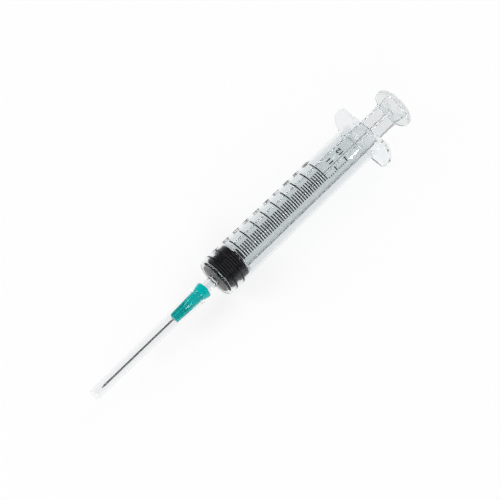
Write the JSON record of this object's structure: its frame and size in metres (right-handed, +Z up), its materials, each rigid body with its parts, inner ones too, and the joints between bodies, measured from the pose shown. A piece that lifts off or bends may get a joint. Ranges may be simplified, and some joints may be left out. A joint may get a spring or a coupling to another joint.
{
  "type": "syringe with needle",
  "caption": "Ten millilitre plastic syringe with a rubber piston, a printed scale, and a thin steel needle in a clear sheath.",
  "frame": {"origin": "middle of the bounding box in X and Y, at the height of the table that the flange's lower flat rests on", "axes": "+X along the barrel towards the thumb rest, +Z up with the printed scale uppermost, +Y to the side that the numerals are on"},
  "size_m": [0.1692, 0.0294, 0.018],
  "materials": {
    "barrel_plastic": "clear, slightly hazy polypropylene",
    "scale_ink": "black print",
    "piston_rubber": "satin, lightly oiled",
    "rod_plastic": "translucent polypropylene",
    "hub_plastic": "glossy, slightly translucent",
    "needle_steel": "drawn steel",
    "bond_resin": "clear cured resin",
    "sheath_plastic": "clear polypropylene"
  },
  "bodies": {
    "barrel": {"barrel": "barrel_plastic", "scale_lines": "scale_ink"},
    "piston": {"piston": "piston_rubber"},
    "rod": {"plunger_rod": "rod_plastic"},
    "needle": {"needle_hub": "hub_plastic", "needle_tube": "needle_steel", "bond": "bond_resin"},
    "sheath": {"needle_sheath": "sheath_plastic"}
  },
  "joints": [
    {"name": "plunger_slide", "type": "slide", "parent": "barrel", "child": "piston", "axis": [1, 0, 0], "range_m": [0, 0.0715]},
    {"name": "rod_turn", "type": "hinge", "parent": "piston", "child": "rod", "pos_m": [-0.00885, 0, 0.009], "axis": [1, 0, 0], "continuous": true},
    {"name": "needle_pull", "type": "slide", "parent": "barrel", "child": "needle", "axis": [-1, 0, 0], "range_m": [0, 0.008]},
    {"name": "sheath_pull", "type": "slide", "parent": "needle", "child": "sheath", "axis": [-1, 0, 0], "range_m": [0, 0.056]}
  ]
}
